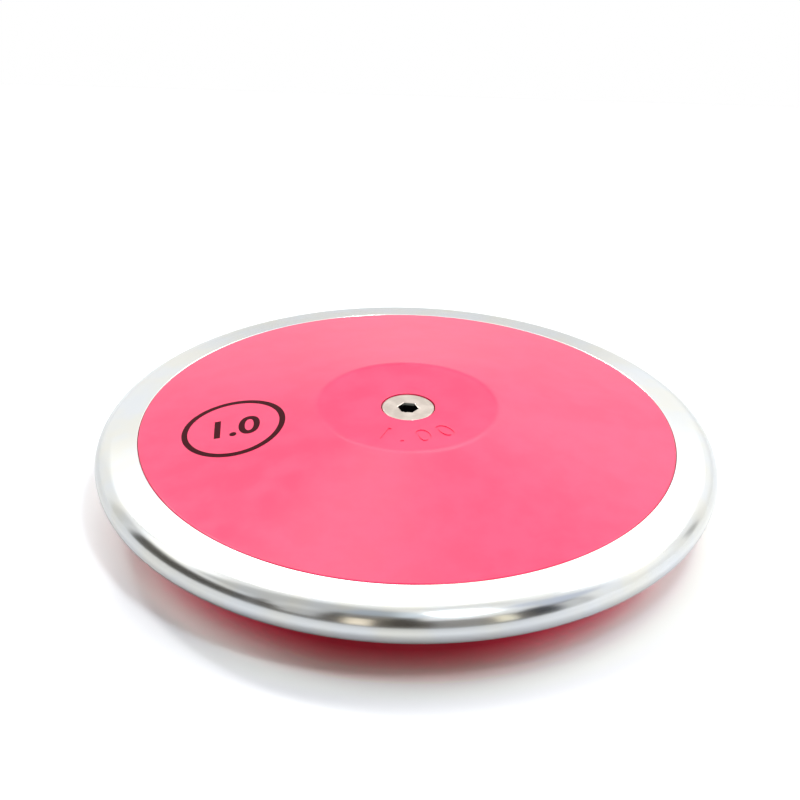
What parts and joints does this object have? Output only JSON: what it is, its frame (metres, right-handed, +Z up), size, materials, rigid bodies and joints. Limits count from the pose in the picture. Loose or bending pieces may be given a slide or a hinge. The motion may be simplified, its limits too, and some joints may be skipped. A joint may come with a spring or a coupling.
{
  "type": "throwing discus",
  "caption": "Round throwing discus: steel rim, two tapered plastic side plates and a steel core clamped by a centre bolt.",
  "frame": {"origin": "centre of the lower flat, on the discus's axis, where it stands on a table", "axes": "+Z up along the discus's axis; +Y away from the picture's viewer, +X to the viewer's right"},
  "size_m": [0.181, 0.181, 0.038],
  "materials": {
    "rim_zinc_steel": "bright zinc plated, polished",
    "plate_plastic": "gloss injection moulded, pink",
    "bolt_steel": "turned, nickel plated",
    "core_steel": "plain turned steel",
    "felt": "pressed grey felt"
  },
  "bodies": {
    "root": {"rim": "rim_zinc_steel", "upper_side_plate": "plate_plastic", "lower_side_plate": "plate_plastic", "hub_core": "core_steel", "centre_bolt": "bolt_steel", "barrel_nut": "bolt_steel", "felt_ring": "felt", "trim_washer_1": "core_steel", "trim_washer_2": "core_steel", "trim_washer_3": "core_steel", "trim_washer_4": "core_steel", "dowel_pin_1": "core_steel", "dowel_pin_2": "core_steel", "dowel_pin_3": "core_steel", "dowel_pin_4": "core_steel"}
  },
  "joints": []
}
